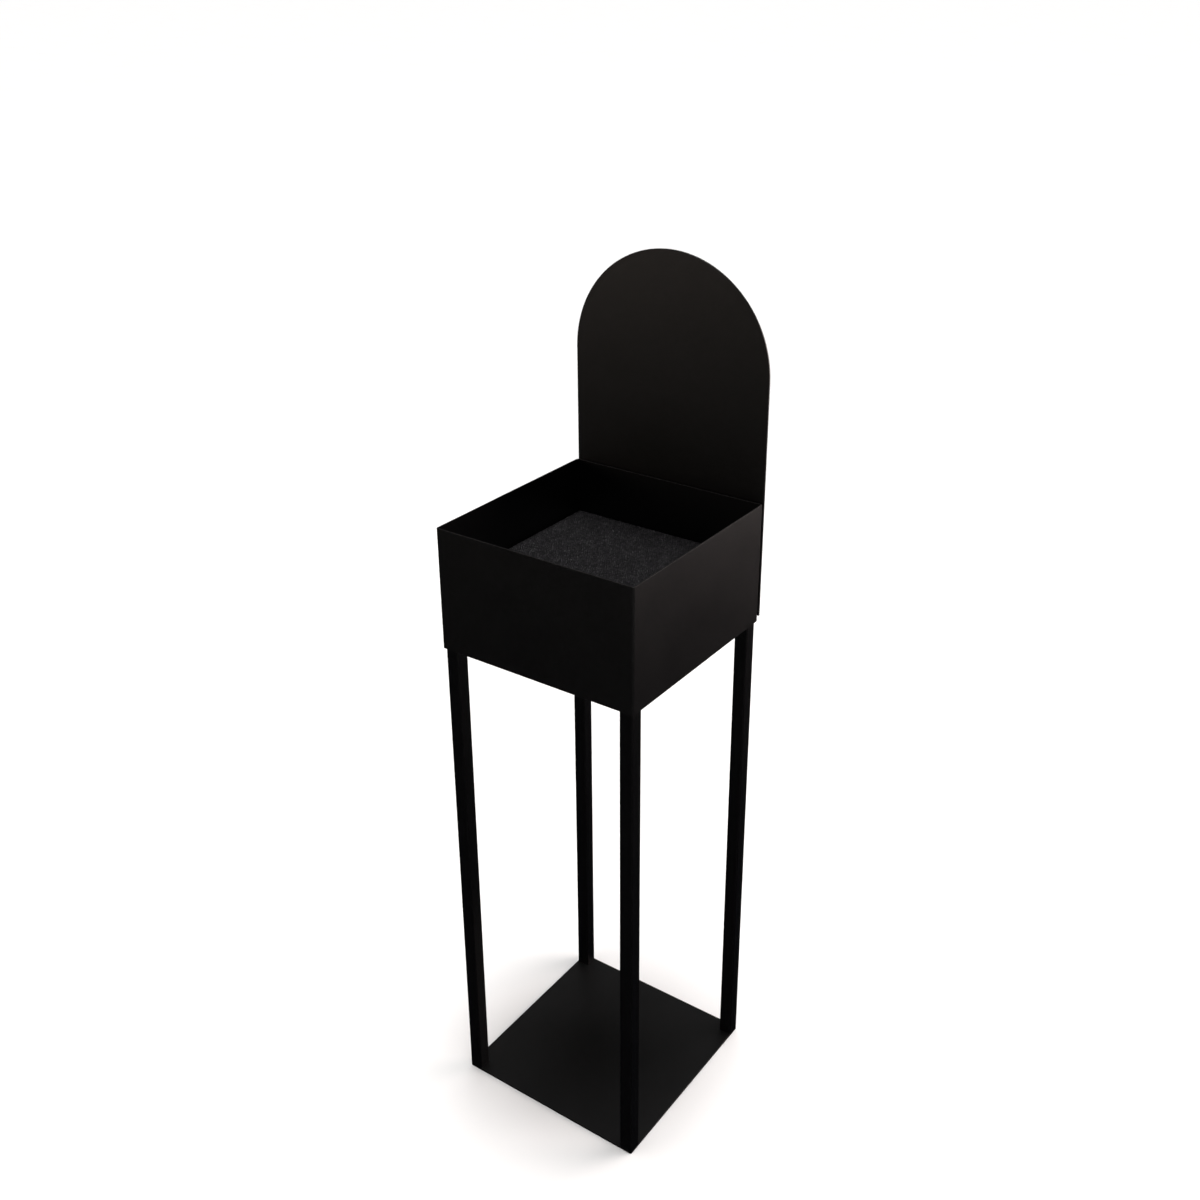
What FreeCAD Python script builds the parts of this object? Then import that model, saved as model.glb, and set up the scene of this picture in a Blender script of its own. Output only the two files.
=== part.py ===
"""Ashtray bin: a square box on four tube legs, with a loose gritty stub-out tray lying in it
and an arched back panel that drops into two pockets behind it.

Millimetres, +Z up, +X to the right and +Y to the rear. The origin is the middle of the base
plate's underside, on the ground.
"""
import FreeCAD, Part
import Sketcher
import math
import os

doc = FreeCAD.newDocument("AshtrayBin")
sheet = doc.addObject("Spreadsheet::Sheet", "Dimensions")


class Size:
    """A length: its number, and the spreadsheet expression that it stays bound to."""

    def __init__(self, number, text):
        self.number = number
        self.text = text

    def __add__(self, other):
        return combined(self, "+", other)

    def __sub__(self, other):
        return combined(self, "-", other)

    def __mul__(self, other):
        return combined(self, "*", other)

    def __truediv__(self, other):
        return combined(self, "/", other)

    def __neg__(self):
        return combined(0, "-", self)


def as_size(value):
    if isinstance(value, Size):
        return value
    return Size(float(value), f"{float(value):.6f}")


def combined(left, sign, right):
    left, right = as_size(left), as_size(right)
    number = {
        "+": left.number + right.number,
        "-": left.number - right.number,
        "*": left.number * right.number,
        "/": left.number / right.number if right.number else math.inf,
    }[sign]
    return Size(number, f"({left.text} {sign} {right.text})")


def driving(alias, number, note):
    """Writes one driving dimension into the sheet and returns it as a Size."""
    driving.row += 1
    sheet.set(f"A{driving.row}", note)
    sheet.set(f"B{driving.row}", str(number))
    sheet.setAlias(f"B{driving.row}", alias)
    return Size(float(number), f"Dimensions.{alias}")


driving.row = 0

# Stand
frame_width = driving("frame_width", 300, "outside of the leg frame and of the base plate")
tube_size = driving("tube_size", 20, "outside of the square tube")
tube_wall = driving("tube_wall", 1.5, "wall of the square tube")
tube_corner = driving("tube_corner", 2, "outer corner radius of the tube")
tube_inner_corner = driving("tube_inner_corner", 0.5, "inner corner radius of the tube")
base_thickness = driving("base_thickness", 3, "base plate")
plate_corner = driving("plate_corner", 2, "corner radius of the base plate")
plug_height = driving("plug_height", 12, "threaded plug in the foot of each leg")
plug_clearance = driving("plug_clearance", 0.1, "all round the plug")

# Box
rim_height = driving("rim_height", 910, "top of the box above the ground")
box_width = driving("box_width", 306, "outside of the box")
box_height = driving("box_height", 174, "walls of the box, with the skirt")
sheet_thickness = driving("sheet_thickness", 2, "box, floor, tray and brackets")
floor_depth = driving("floor_depth", 86, "box floor below the rim")
wall_bend = driving("wall_bend", 3, "outer radius of the box's upright edges")
wall_inner_bend = driving("wall_inner_bend", 1, "inner radius of the same edges")
hole_diameter = driving("hole_diameter", 50, "round hole in the box floor")
hole_setback = driving("hole_setback", 50, "hole behind the middle of the floor")

# Tray
tray_width = driving("tray_width", 298, "outside of the tray, both ways")
tray_height = driving("tray_height", 7, "tray over its folded edges")
tray_bend = driving("tray_bend", 2.5, "outer radius of the tray's folds")
tray_inner_bend = driving("tray_inner_bend", 0.5, "inner radius of the tray's folds")
pad_thickness = driving("pad_thickness", 1, "gritty layer on the tray")
pad_inset = driving("pad_inset", 0.5, "layer in from the tray's cut edges")

# Back panel and its brackets
panel_straight = driving("panel_straight", 335, "straight sides of the back panel")
panel_thickness = driving("panel_thickness", 3, "back panel")
panel_edge = driving("panel_edge", 0.5, "broken edge round the back panel")
panel_gap = driving("panel_gap", 0.3, "between the panel and each side of its pocket")
bracket_base = driving("bracket_base", 740, "underside of the brackets above the ground")
bracket_width = driving("bracket_width", 60, "each bracket")
bracket_offset = driving("bracket_offset", 90, "middle of each bracket from the centre")
bracket_rise = driving("bracket_rise", 68, "leg of the bracket on the wall")
bracket_lip = driving("bracket_lip", 45, "leg of the bracket behind the panel")
bracket_corner = driving("bracket_corner", 6, "corner radius of the bracket's legs")
bracket_inner_bend = driving("bracket_inner_bend", 0.8, "inner radius of the bracket's folds")
bracket_hole_spacing = driving("bracket_hole_spacing", 36, "between a bracket's two screws")
bracket_hole_rise = driving("bracket_hole_rise", 55, "the same screws above the bracket's underside")

# Fasteners
thread_gap = driving("thread_gap", 0.05, "radial play of a screw in its thread")
hole_play = driving("hole_play", 0.5, "diameter of a clearance hole over its screw")
m4_shank = driving("m4_shank", 4, "bracket screws")
m4_head = driving("m4_head", 7.6, "countersunk head of the bracket screws")
m4_length = driving("m4_length", 10, "bracket screws, over the head")
m4_socket = driving("m4_socket", 2.5, "hexagon socket of the bracket screws, across flats")
m4_washer = driving("m4_washer", 9, "washer outside")
m4_washer_thick = driving("m4_washer_thick", 0.8, "washer")
m4_nut = driving("m4_nut", 7, "nut, across flats")
m4_nut_height = driving("m4_nut_height", 3.2, "nut")
m5_shank = driving("m5_shank", 5, "base screws")
m5_head = driving("m5_head", 9.6, "countersunk head of the base screws")
m5_length = driving("m5_length", 14, "base screws, over the head")
m5_socket = driving("m5_socket", 3, "hexagon socket of the base screws, across flats")
socket_depth = driving("socket_depth", 1.6, "depth of every hexagon socket")
head_recess = driving("head_recess", 0.2, "countersunk heads below the surface")
m6_stud = driving("m6_stud", 6, "weld studs under the box floor")
m6_stud_length = driving("m6_stud_length", 29, "weld studs")
m6_washer = driving("m6_washer", 12, "washer outside")
m6_washer_thick = driving("m6_washer_thick", 1.6, "washer")
m6_nut = driving("m6_nut", 10, "nut, across flats")
m6_nut_height = driving("m6_nut_height", 5, "nut")
stud_offset = driving("stud_offset", 50, "weld studs left and right of the centre")
stud_point = driving("stud_point", 0.8, "chamfer at the tip of studs and screws")

doc.recompute()

# Heights and places that follow from them
floor_top = rim_height - floor_depth
floor_underside = floor_top - sheet_thickness
leg_length = floor_underside - base_thickness
rail_length = frame_width - tube_size * 2
tube_centre = frame_width / 2 - tube_size / 2
wall_outside = box_width / 2
wall_inside = wall_outside - sheet_thickness
bracket_slot = panel_thickness + panel_gap * 2
bracket_depth = bracket_slot + sheet_thickness * 2
panel_bottom = bracket_base + sheet_thickness
panel_front = wall_outside + sheet_thickness + panel_gap
HEX_HALF_SIDE = 1 / (2 * math.sqrt(3))
SIDES = {"left": -1, "right": 1}
ENDS = {"front": -1, "rear": 1}


def bind(feature, prop, size):
    """Sets a property and, for a Size, ties it to the sheet."""
    feature.setExpression(prop, as_size(size).text)


def new_body(label, at=(0, 0, 0)):
    body = doc.addObject("PartDesign::Body", label)
    body.Label = label
    for axis, distance in zip("xyz", at):
        bind(body, f"Placement.Base.{axis}", distance)
    return body


def new_sketch(body, plane_role, name):
    sketch = body.newObject("Sketcher::SketchObject", f"{body.Name}_{name}")
    plane = next(item for item in body.Origin.OriginFeatures if item.Role == plane_role)
    sketch.AttachmentSupport = [(plane, "")]
    sketch.MapMode = "FlatFace"
    return sketch


def hold_point(sketch, geometry, end, x, y):
    """Fixes one point of a sketch by its distances from the sketch's own axes."""
    for kind, size, axis in (("DistanceX", as_size(x), -2), ("DistanceY", as_size(y), -1)):
        if size.number == 0:
            sketch.addConstraint(Sketcher.Constraint("PointOnObject", geometry, end, axis))
            continue
        index = sketch.addConstraint(Sketcher.Constraint(kind, -1, 1, geometry, end, size.number))
        sketch.setExpression(f"Constraints[{index}]", size.text)


def vector(x, y):
    return FreeCAD.Vector(as_size(x).number, as_size(y).number, 0)


def draw_polygon(sketch, points):
    """Closed outline through points, each a pair of sizes."""
    first = sketch.GeometryCount
    count = len(points)
    for index, (x, y) in enumerate(points):
        next_x, next_y = points[(index + 1) % count]
        sketch.addGeometry(Part.LineSegment(vector(x, y), vector(next_x, next_y)))
    for index, (x, y) in enumerate(points):
        before = first + (index - 1) % count
        sketch.addConstraint(Sketcher.Constraint("Coincident", before, 2, first + index, 1))
        hold_point(sketch, first + index, 1, x, y)


def draw_rectangle(sketch, width, depth, centre_x=0, centre_y=0):
    half_width, half_depth = as_size(width) / 2, as_size(depth) / 2
    corners = [(-1, -1), (1, -1), (1, 1), (-1, 1)]
    draw_polygon(sketch, [(half_width * i + centre_x, half_depth * j + centre_y) for i, j in corners])


def draw_circle(sketch, diameter, centre_x=0, centre_y=0):
    radius = as_size(diameter) / 2
    circle = Part.Circle(vector(centre_x, centre_y), FreeCAD.Vector(0, 0, 1), radius.number)
    geometry = sketch.addGeometry(circle)
    hold_point(sketch, geometry, 3, centre_x, centre_y)
    index = sketch.addConstraint(Sketcher.Constraint("Radius", geometry, radius.number))
    sketch.setExpression(f"Constraints[{index}]", radius.text)


def draw_hexagon(sketch, across_flats):
    flat, corner = across_flats / 2, across_flats * HEX_HALF_SIDE
    draw_polygon(sketch, [
        (flat, -corner), (flat, corner), (as_size(0), corner * 2),
        (-flat, corner), (-flat, -corner), (as_size(0), -corner * 2),
    ])


def pad(body, sketch, length, symmetric=False, reverse=False):
    feature = body.newObject("PartDesign::Pad", f"{sketch.Name}_pad")
    feature.Profile = sketch
    feature.Midplane = symmetric
    feature.Reversed = reverse
    bind(feature, "Length", length)
    doc.recompute()
    return feature


def pocket(body, sketch, depth, symmetric=False, reverse=False):
    """Cuts a sketch's outline, and checks that the cut met the solid."""
    before = body.Tip.Shape.Volume
    feature = body.newObject("PartDesign::Pocket", f"{sketch.Name}_pocket")
    feature.Profile = sketch
    feature.Midplane = symmetric
    feature.Reversed = reverse
    bind(feature, "Length", depth)
    doc.recompute()
    if feature.Shape.Volume >= before:
        raise RuntimeError(f"{feature.Name} cuts nothing")
    return feature


def revolve(body, sketch):
    feature = body.newObject("PartDesign::Revolution", f"{sketch.Name}_turned")
    feature.Profile = sketch
    feature.ReferenceAxis = (sketch, ["V_Axis"])
    doc.recompute()
    return feature


def dress(body, kind, size_name, size, wanted):
    """Fillet or Chamfer on the edges of the body's tip that wanted() picks."""
    base = body.Tip
    names = [f"Edge{i}" for i, edge in enumerate(base.Shape.Edges, 1) if wanted(edge)]
    feature = body.newObject(f"PartDesign::{kind}", f"{body.Name}_{kind.lower()}_{len(body.Group)}")
    feature.Base = (base, names)
    bind(feature, size_name, size)
    doc.recompute()
    return feature


def fillet(body, radius, wanted):
    return dress(body, "Fillet", "Radius", radius, wanted)


def chamfer(body, size, wanted):
    return dress(body, "Chamfer", "Size", size, wanted)


def straight_along(axis):
    """Test for straight edges that run along axis, 0, 1 or 2."""
    def test(edge):
        if not isinstance(edge.Curve, Part.Line):
            return False
        return abs(abs(edge.Curve.Direction[axis]) - 1) < 1e-6
    return test


def at_distance(edge, axes, distance):
    """True where the edge's middle stands this far out from the origin along each axis."""
    middle = edge.CenterOfMass
    return all(abs(abs(middle[axis]) - as_size(distance).number) < 1e-3 for axis in axes)


def rim_of_hole(diameter, level_axis, level):
    """Test for circles of this diameter that lie at one level."""
    def test(edge):
        if not isinstance(edge.Curve, Part.Circle):
            return False
        right_size = abs(edge.Curve.Radius - as_size(diameter).number / 2) < 1e-3
        return right_size and abs(edge.CenterOfMass[level_axis] - as_size(level).number) < 1e-3
    return test


def group(label, members):
    """One node for identical fasteners, each a solid of its own."""
    compound = doc.addObject("Part::Compound", label)
    compound.Label = label
    compound.Links = members
    return compound


# Stand ------------------------------------------------------------------------------------

def make_base_plate():
    body = new_body("base_plate")
    outline = new_sketch(body, "XY_Plane", "outline")
    draw_rectangle(outline, frame_width, frame_width)
    pad(body, outline, base_thickness)
    fillet(body, plate_corner, straight_along(2))
    holes = new_sketch(body, "XY_Plane", "screw_holes")
    for side in SIDES.values():
        for end in ENDS.values():
            draw_circle(holes, m5_shank + hole_play, tube_centre * side, tube_centre * end)
    pocket(body, holes, base_thickness, reverse=True)
    countersink = (m5_head - m5_shank) / 2 + head_recess
    chamfer(body, countersink, rim_of_hole(m5_shank + hole_play, 2, 0))
    return body


def make_tube(label, plane_role, length, at, symmetric):
    """Square tube with rounded corners, along the normal of its sketch plane."""
    body = new_body(label, at)
    outline = new_sketch(body, plane_role, "section")
    draw_rectangle(outline, tube_size, tube_size)
    pad(body, outline, length, symmetric=symmetric)
    along = {"XY_Plane": 2, "XZ_Plane": 1, "YZ_Plane": 0}[plane_role]
    across = [axis for axis in range(3) if axis != along]
    fillet(body, tube_corner, straight_along(along))
    bore = new_sketch(body, plane_role, "bore")
    inside = tube_size - tube_wall * 2
    draw_rectangle(bore, inside, inside)
    pocket(body, bore, length, symmetric=symmetric, reverse=not symmetric)

    def inner_corner(edge):
        return straight_along(along)(edge) and at_distance(edge, across, inside / 2)

    fillet(body, tube_inner_corner, inner_corner)
    return body


def make_legs():
    legs = []
    for end_name, end in ENDS.items():
        for side_name, side in SIDES.items():
            foot = (tube_centre * side, tube_centre * end, base_thickness)
            legs.append(make_tube(f"leg_{end_name}_{side_name}", "XY_Plane", leg_length, foot, False))
    return legs


def make_rails():
    """Tubes between the leg tops. The front and rear ones have holes for the floor's studs."""
    rail_middle = floor_underside - tube_size / 2
    rails = []
    for end_name, end in ENDS.items():
        at = (0, tube_centre * end, rail_middle)
        rail = make_tube(f"rail_{end_name}", "YZ_Plane", rail_length, at, True)
        holes = new_sketch(rail, "XY_Plane", "stud_holes")
        for side in SIDES.values():
            draw_circle(holes, m6_stud + hole_play, stud_offset * side)
        pocket(rail, holes, tube_size, symmetric=True)
        rails.append(rail)
    for side_name, side in SIDES.items():
        at = (tube_centre * side, 0, rail_middle)
        rails.append(make_tube(f"rail_{side_name}", "XZ_Plane", rail_length, at, True))
    return rails


def make_foot_plug(name, at):
    body = new_body(name, at)
    outline = new_sketch(body, "XY_Plane", "outline")
    across = tube_size - tube_wall * 2 - plug_clearance * 2
    draw_rectangle(outline, across, across)
    pad(body, outline, plug_height)
    fillet(body, tube_inner_corner * 2, straight_along(2))
    thread = new_sketch(body, "XY_Plane", "thread")
    draw_circle(thread, m5_shank + thread_gap * 2)
    pocket(body, thread, plug_height, reverse=True)
    return body


def make_countersunk_screw(name, axis_plane, at, shank, head, length, socket, points_to_minus):
    """Countersunk screw whose head's flat face lies at the body's origin."""
    body = new_body(name, at)
    way = -1 if points_to_minus else 1
    cone = (head - shank) / 2
    profile = new_sketch(body, axis_plane, "profile")
    draw_polygon(profile, [
        (as_size(0), as_size(0)),
        (head / 2, as_size(0)),
        (shank / 2, cone * way),
        (shank / 2, (length - stud_point) * way),
        (shank / 2 - stud_point, length * way),
        (as_size(0), length * way),
    ])
    revolve(body, profile)
    socket_plane = "XY_Plane" if axis_plane == "XZ_Plane" else "XZ_Plane"
    recess = new_sketch(body, socket_plane, "socket")
    draw_hexagon(recess, socket)
    pocket(body, recess, socket_depth * 2, symmetric=True)
    return body


def make_foot_fasteners():
    plugs, screws = [], []
    for end_name, end in ENDS.items():
        for side_name, side in SIDES.items():
            x, y = tube_centre * side, tube_centre * end
            corner = f"{end_name}_{side_name}"
            plugs.append(make_foot_plug(f"plug_{corner}", (x, y, base_thickness)))
            screws.append(make_countersunk_screw(
                f"base_screw_{corner}", "XZ_Plane", (x, y, head_recess),
                m5_shank, m5_head, m5_length, m5_socket, False))
    return [group("foot_plugs", plugs), group("base_screws", screws)]


# Box --------------------------------------------------------------------------------------

def bracket_screw_places():
    """X and Z of the four screws that hold the two brackets."""
    level = bracket_base + bracket_hole_rise
    places = []
    for bracket_side in SIDES.values():
        for hole_side in SIDES.values():
            x = bracket_offset * bracket_side + bracket_hole_spacing / 2 * hole_side
            places.append((x, level))
    return places


def make_box_walls():
    """Four walls folded from one strip, open above and below."""
    skirt_edge = rim_height - box_height
    body = new_body("box_walls", (0, 0, skirt_edge))
    outline = new_sketch(body, "XY_Plane", "outside")
    draw_rectangle(outline, box_width, box_width)
    pad(body, outline, box_height)
    fillet(body, wall_bend, straight_along(2))
    hollow = new_sketch(body, "XY_Plane", "inside")
    draw_rectangle(hollow, wall_inside * 2, wall_inside * 2)
    pocket(body, hollow, box_height, reverse=True)

    def inner_corner(edge):
        return straight_along(2)(edge) and at_distance(edge, (0, 1), wall_inside)

    fillet(body, wall_inner_bend, inner_corner)
    holes = new_sketch(body, "XZ_Plane", "bracket_holes")
    for x, level in bracket_screw_places():
        draw_circle(holes, m4_shank + hole_play, x, level - skirt_edge)
    pocket(body, holes, wall_outside)
    return body


def make_box_floor():
    body = new_body("box_floor", (0, 0, floor_underside))
    outline = new_sketch(body, "XY_Plane", "outline")
    draw_rectangle(outline, wall_inside * 2, wall_inside * 2)
    pad(body, outline, sheet_thickness)
    fillet(body, wall_inner_bend, straight_along(2))
    hole = new_sketch(body, "XY_Plane", "hole")
    draw_circle(hole, hole_diameter, 0, hole_setback)
    pocket(body, hole, sheet_thickness, reverse=True)
    return body


def make_stud(name, at):
    """Weld stud that hangs from the floor's underside."""
    body = new_body(name, at)
    profile = new_sketch(body, "XZ_Plane", "profile")
    radius = m6_stud / 2
    draw_polygon(profile, [
        (as_size(0), as_size(0)),
        (radius, as_size(0)),
        (radius, stud_point - m6_stud_length),
        (radius - stud_point, -m6_stud_length),
        (as_size(0), -m6_stud_length),
    ])
    revolve(body, profile)
    return body


def make_washer(name, plane_role, at, outside, bore, thickness, reverse):
    body = new_body(name, at)
    ring = new_sketch(body, plane_role, "ring")
    draw_circle(ring, outside)
    draw_circle(ring, bore)
    pad(body, ring, thickness, reverse=reverse)
    return body


def make_nut(name, plane_role, at, across_flats, bore, height, reverse):
    body = new_body(name, at)
    outline = new_sketch(body, plane_role, "outline")
    draw_hexagon(outline, across_flats)
    draw_circle(outline, bore)
    pad(body, outline, height, reverse=reverse)
    return body


def make_floor_fasteners():
    """Studs through the front and rear rails, with a washer and a nut under each rail."""
    studs, washers, nuts = [], [], []
    rail_underside = floor_underside - tube_size
    bore = m6_stud + thread_gap * 2
    for end_name, end in ENDS.items():
        for side_name, side in SIDES.items():
            x, y = stud_offset * side, tube_centre * end
            place = f"{end_name}_{side_name}"
            studs.append(make_stud(f"stud_{place}", (x, y, floor_underside)))
            washers.append(make_washer(
                f"floor_washer_{place}", "XY_Plane", (x, y, rail_underside),
                m6_washer, m6_stud + hole_play, m6_washer_thick, True))
            nuts.append(make_nut(
                f"floor_nut_{place}", "XY_Plane", (x, y, rail_underside - m6_washer_thick),
                m6_nut, bore, m6_nut_height, True))
    return [group("floor_studs", studs), group("floor_washers", washers), group("floor_nuts", nuts)]


# Tray -------------------------------------------------------------------------------------

def make_stub_tray():
    """Square plate whose left and right edges are folded down, so that it stands on them."""
    body = new_body("stub_tray", (0, 0, floor_top))
    section = new_sketch(body, "XZ_Plane", "section")
    half = tray_width / 2
    inner_half = half - sheet_thickness
    underside = tray_height - sheet_thickness
    draw_polygon(section, [
        (-half, as_size(0)), (-inner_half, as_size(0)), (-inner_half, underside),
        (inner_half, underside), (inner_half, as_size(0)), (half, as_size(0)),
        (half, tray_height), (-half, tray_height),
    ])
    pad(body, section, tray_width, symmetric=True)

    def fold(x, z):
        def test(edge):
            return straight_along(1)(edge) and at_distance(edge, (0,), x) and at_distance(edge, (2,), z)
        return test

    fillet(body, tray_bend, fold(half, tray_height))
    fillet(body, tray_inner_bend, fold(inner_half, underside))
    return body


def make_stub_pad():
    body = new_body("stub_pad", (0, 0, floor_top + tray_height))
    outline = new_sketch(body, "XY_Plane", "outline")
    draw_rectangle(outline, tray_width - tray_bend * 2, tray_width - pad_inset * 2)
    pad(body, outline, pad_thickness)
    return body


# Back panel -------------------------------------------------------------------------------

def make_back_panel():
    """Upright sheet, straight at the sides and half round at the top."""
    body = new_body("back_panel", (0, panel_front + panel_thickness, panel_bottom))
    outline = new_sketch(body, "XZ_Plane", "outline")
    half = box_width / 2
    left, right, foot = -half, half, as_size(0)
    corners = [(left, panel_straight), (left, foot), (right, foot), (right, panel_straight)]
    for index in range(3):
        outline.addGeometry(Part.LineSegment(vector(*corners[index]), vector(*corners[index + 1])))
        hold_point(outline, index, 1, *corners[index])
        if index:
            outline.addConstraint(Sketcher.Constraint("Coincident", index - 1, 2, index, 1))
    hold_point(outline, 2, 2, *corners[3])
    crown = Part.Circle(vector(foot, panel_straight), FreeCAD.Vector(0, 0, 1), half.number)
    arc = outline.addGeometry(Part.ArcOfCircle(crown, 0, math.pi))
    outline.addConstraint(Sketcher.Constraint("Coincident", 2, 2, arc, 1))
    outline.addConstraint(Sketcher.Constraint("Coincident", 0, 1, arc, 2))
    index = outline.addConstraint(
        Sketcher.Constraint("DistanceY", -1, 1, arc, 3, panel_straight.number))
    outline.setExpression(f"Constraints[{index}]", panel_straight.text)
    pad(body, outline, panel_thickness)

    def outer_edge(edge):
        return not straight_along(1)(edge)

    chamfer(body, panel_edge, outer_edge)
    return body


def make_bracket(label, side):
    """J-shaped pocket: one leg on the wall, a floor, and a shorter lip behind the panel."""
    body = new_body(label, (bracket_offset * side, wall_outside, bracket_base))
    section = new_sketch(body, "YZ_Plane", "section")
    foot = as_size(0)
    slot_front, slot_rear = sheet_thickness, sheet_thickness + bracket_slot
    draw_polygon(section, [
        (foot, foot), (bracket_depth, foot), (bracket_depth, bracket_lip),
        (slot_rear, bracket_lip), (slot_rear, sheet_thickness), (slot_front, sheet_thickness),
        (slot_front, bracket_rise), (foot, bracket_rise),
    ])
    pad(body, section, bracket_width, symmetric=True)

    def fold(depth, height):
        def test(edge):
            middle = edge.CenterOfMass
            near_depth = abs(middle.y - as_size(depth).number) < 1e-3
            return straight_along(0)(edge) and near_depth and abs(middle.z - height) < 1e-3
        return test

    inner = sheet_thickness.number
    outer_bend = bracket_inner_bend + sheet_thickness
    for depth in (foot, bracket_depth):
        fillet(body, outer_bend, fold(depth, 0))
    for depth in (slot_front, slot_rear):
        fillet(body, bracket_inner_bend, fold(depth, inner))

    def upper_corner(edge):
        height = edge.CenterOfMass.z
        tops = (bracket_rise.number, bracket_lip.number)
        return straight_along(1)(edge) and any(abs(height - top) < 1e-3 for top in tops)

    fillet(body, bracket_corner, upper_corner)
    holes = new_sketch(body, "XZ_Plane", "screw_holes")
    for hole_side in SIDES.values():
        draw_circle(holes, m4_shank + hole_play, bracket_hole_spacing / 2 * hole_side, bracket_hole_rise)
    pocket(body, holes, sheet_thickness)
    chamfer(body, (m4_head - m4_shank) / 2, rim_of_hole(m4_shank + hole_play, 1, sheet_thickness))
    return body


def make_bracket_fasteners():
    """Screws from behind through each bracket and the rear wall, with washers and nuts inside."""
    screws, washers, nuts = [], [], []
    head_face = wall_outside + sheet_thickness
    nut_face = wall_inside - m4_washer_thick
    for index, (x, z) in enumerate(bracket_screw_places()):
        screws.append(make_countersunk_screw(
            f"bracket_screw_{index}", "XY_Plane", (x, head_face, z),
            m4_shank, m4_head, m4_length, m4_socket, True))
        washers.append(make_washer(
            f"bracket_washer_{index}", "XZ_Plane", (x, wall_inside, z),
            m4_washer, m4_shank + hole_play, m4_washer_thick, False))
        nuts.append(make_nut(
            f"bracket_nut_{index}", "XZ_Plane", (x, nut_face, z),
            m4_nut, m4_shank + thread_gap * 2, m4_nut_height, False))
    return [
        group("bracket_screws", screws),
        group("bracket_washers", washers),
        group("bracket_nuts", nuts),
    ]


def make_parts():
    parts = [make_base_plate()]
    parts += make_legs()
    parts += make_rails()
    parts += make_foot_fasteners()
    parts += [make_box_walls(), make_box_floor()]
    parts += make_floor_fasteners()
    parts += [make_stub_tray(), make_stub_pad()]
    parts += [make_bracket(f"panel_bracket_{name}", side) for name, side in SIDES.items()]
    parts += make_bracket_fasteners()
    parts.append(make_back_panel())
    return parts


def check(parts):
    doc.recompute()
    for item in doc.Objects:
        if "Invalid" in item.State or "Error" in item.State:
            raise RuntimeError(f"{item.Label} failed: {item.State}")
    for item in parts:
        if item.Shape.isNull() or not item.Shape.isValid() or not item.Shape.Solids:
            raise RuntimeError(f"{item.Label} has no good shape")


def write(parts):
    os.makedirs("parts", exist_ok=True)
    for item in parts:
        item.Shape.exportStep(os.path.join("parts", f"{item.Label}.step"))
        print(f"{item.Label}: {len(item.Shape.Solids)} solids, {item.Shape.Volume:.0f} mm3")


all_parts = make_parts()
check(all_parts)
write(all_parts)
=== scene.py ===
"""Ashtray bin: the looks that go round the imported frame.

Metres, +Z up, +X to the right and +Y to the rear. The frame gives every place on the object. The
pieces made here are the gritty layer of the tray, the weld beads, and the threaded and chamfered
fasteners.
"""
import bmesh
import bpy
import math
import random
from collections import Counter
from mathutils import Matrix, Vector
from mathutils import noise as space_noise


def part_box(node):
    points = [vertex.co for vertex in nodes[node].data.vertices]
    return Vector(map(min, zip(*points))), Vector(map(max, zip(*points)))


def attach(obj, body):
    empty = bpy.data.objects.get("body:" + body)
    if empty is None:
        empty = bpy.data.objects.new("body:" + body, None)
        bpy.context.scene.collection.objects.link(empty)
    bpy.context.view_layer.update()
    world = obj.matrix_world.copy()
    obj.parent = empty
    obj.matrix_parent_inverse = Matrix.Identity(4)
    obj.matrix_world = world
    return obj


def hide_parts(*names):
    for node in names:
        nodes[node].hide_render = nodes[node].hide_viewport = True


MM = 0.001

# Camera, as the photograph was taken: the point it aims at, and how it stands to it
CAMERA_AIM = Vector((0.0215, 0.0148, 0.8701))
CAMERA_DISTANCE = 1.7865
CAMERA_AZIMUTH = math.radians(34.62)
CAMERA_ELEVATION = math.radians(24.28)
CAMERA_LENS = 40.72
CAMERA_SENSOR = 36.0
CAMERA_SHIFT = (-0.0188, -0.0468)

# Light: the overhead sun's strength, and the softboxes' in watts. A fill's key is its azimuth.
OVERHEAD_POWER = 3.4
KEY_POWER = 38
PANEL_POWER = 5.2
FILL_POWERS = {0: 1.6, 45: 3.0, 90: 3.0, 180: 3.4, 225: 2.2, 270: 3.2}
SOFTBOX_DISTANCE = 2.4
BOX_MIDDLE = (0, 0, 0.80)
PANEL_MIDDLE = (0, 0.155, 1.12)

# Coats: base colour, roughness and the most dust. They are one black powder coat in four
# copies, darker and bluer towards the bottom: the stand's and the box's are darker as painted
# shade, and the panel's is warmer as painted light.
STAND_BLACK_PAINTED_SHADE = ((0.0022, 0.0022, 0.0026), 0.31, 0.012)
BOX_BLACK_PAINTED_SHADE = ((0.0032, 0.0031, 0.0034), 0.36, 0.03)
PANEL_BLACK_PAINTED_WARM_LIGHT = ((0.0046, 0.0044, 0.0043), 0.36, 0.04)
TRAY_BLACK = ((0.0048, 0.0046, 0.0048), 0.42, 0.05)
RUBBED_EDGE = (0.045, 0.043, 0.042, 1)
DUST = (0.085, 0.078, 0.070, 1)

# Grit
STONE_SEED = 7
SWAY_SEED = 3
STONE_SPACING = 3.3 * MM
STONE_JITTER = 0.42 * STONE_SPACING
SWAY_REACH = 4 * STONE_SPACING
SWAY = 0.75
LATTICE_MARGIN = 2
RESIN_SHARE = 0.07
SMALLEST_STONE = 0.08 * STONE_SPACING ** 2

# Fasteners: the floor's studs and the brackets' screws. A size is a thread's outside.
STUD_SIZE = 6 * MM
STUD_PITCH = 1.0 * MM
STUD_NUT_FLATS = 10 * MM
SCREW_SIZE = 4 * MM
SCREW_PITCH = 0.7 * MM
SCREW_NUT_FLATS = 7 * MM
THREAD_GAP = 0.05 * MM
TIP_CHAMFER = 0.8 * MM
SOCKET_FLATS = 2.5 * MM
SOCKET_MOUTH_RADIUS = 1.6 * MM
SOCKET_DEPTH = 1.6 * MM

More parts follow.
